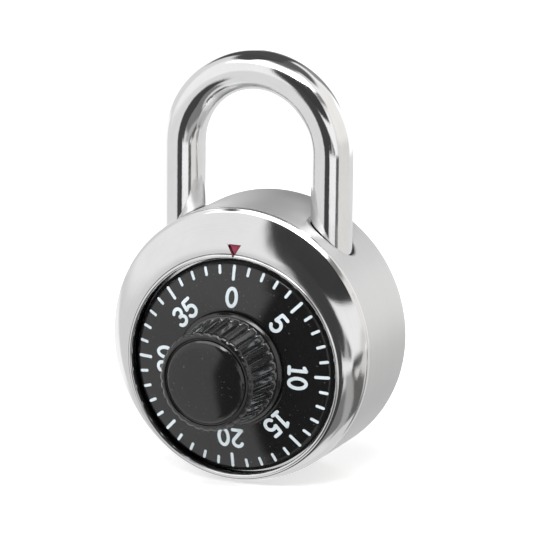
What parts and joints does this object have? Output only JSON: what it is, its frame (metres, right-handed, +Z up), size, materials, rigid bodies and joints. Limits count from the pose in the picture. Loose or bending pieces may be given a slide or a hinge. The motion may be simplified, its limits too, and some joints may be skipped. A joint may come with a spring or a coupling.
{
  "type": "combination padlock",
  "caption": "Round combination padlock with a numbered dial, fluted knob, wheel pack, locking lever and a round-bar shackle that lifts on its long leg.",
  "frame": {"origin": "centre of the round case on its outer back face", "axes": "+X to the right seen from the front, +Y out of the back face, +Z up towards the shackle; the dial faces -Y"},
  "size_m": [0.0476, 0.0323, 0.0738],
  "materials": {
    "case_steel": "polished front ring, satin side and back",
    "shackle_steel": "polished",
    "zinc_steel": "dull plated",
    "pin_steel": "turned",
    "spring_steel": "drawn wire",
    "brass": "stamped",
    "dial_plastic": "gloss black with white sunk marks",
    "knob_plastic": "gloss black",
    "washer_plastic": "natural",
    "red_paint": "red enamel"
  },
  "bodies": {
    "case": {"outer_case": "case_steel", "inner_case": "zinc_steel", "back_cover": "case_steel", "index_marker": "red_paint", "mechanism_plate": "zinc_steel", "frame_posts": "zinc_steel", "heel_retainer": "zinc_steel", "heel_guide": "zinc_steel", "spindle_bushing": "brass", "dial_washer": "washer_plastic", "wheel_post": "pin_steel", "pack_spring": "spring_steel", "wheel_spacer": "pin_steel", "wheel_clip": "spring_steel", "lever_pin": "pin_steel", "lever_spring": "spring_steel"},
    "dial": {"dial": "dial_plastic", "knob": "knob_plastic", "knob_cap": "knob_plastic", "spindle": "pin_steel", "drive_cam": "brass"},
    "wheel_3": {"wheel_3": "brass"},
    "wheel_2": {"wheel_2": "brass"},
    "lever": {"locking_lever": "zinc_steel", "latch_pin": "pin_steel", "latch_spring": "spring_steel"},
    "latch": {"latch": "shackle_steel"},
    "shackle": {"shackle": "shackle_steel"}
  },
  "joints": [
    {"name": "dial_spin", "type": "hinge", "parent": "case", "child": "dial", "pos_m": [0, -0.02, -0.0033], "axis": [0, -1, 0], "continuous": true},
    {"name": "wheel_3_spin", "type": "hinge", "parent": "case", "child": "wheel_3", "pos_m": [0, -0.0122, -0.0033], "axis": [0, -1, 0], "continuous": true},
    {"name": "wheel_2_spin", "type": "hinge", "parent": "case", "child": "wheel_2", "pos_m": [0, -0.0102, -0.0033], "axis": [0, -1, 0], "continuous": true},
    {"name": "shackle_lift", "type": "slide", "parent": "case", "child": "shackle", "axis": [0, 0, 1], "range_m": [0, 0.015]},
    {"name": "lever_swing", "type": "hinge", "parent": "case", "child": "lever", "pos_m": [0.011, -0.0052, 0.0034], "axis": [0, -1, 0], "range_deg": [0, 2]},
    {"name": "latch_swing", "type": "hinge", "parent": "lever", "child": "latch", "pos_m": [0.0054, -0.0106, 0.017], "axis": [0, -1, 0], "range_deg": [0, 28.5]}
  ],
  "couplings": [
    {"joint": "wheel_3_spin", "follows": "dial_spin", "ratio": 1},
    {"joint": "wheel_2_spin", "follows": "dial_spin", "ratio": 1}
  ]
}
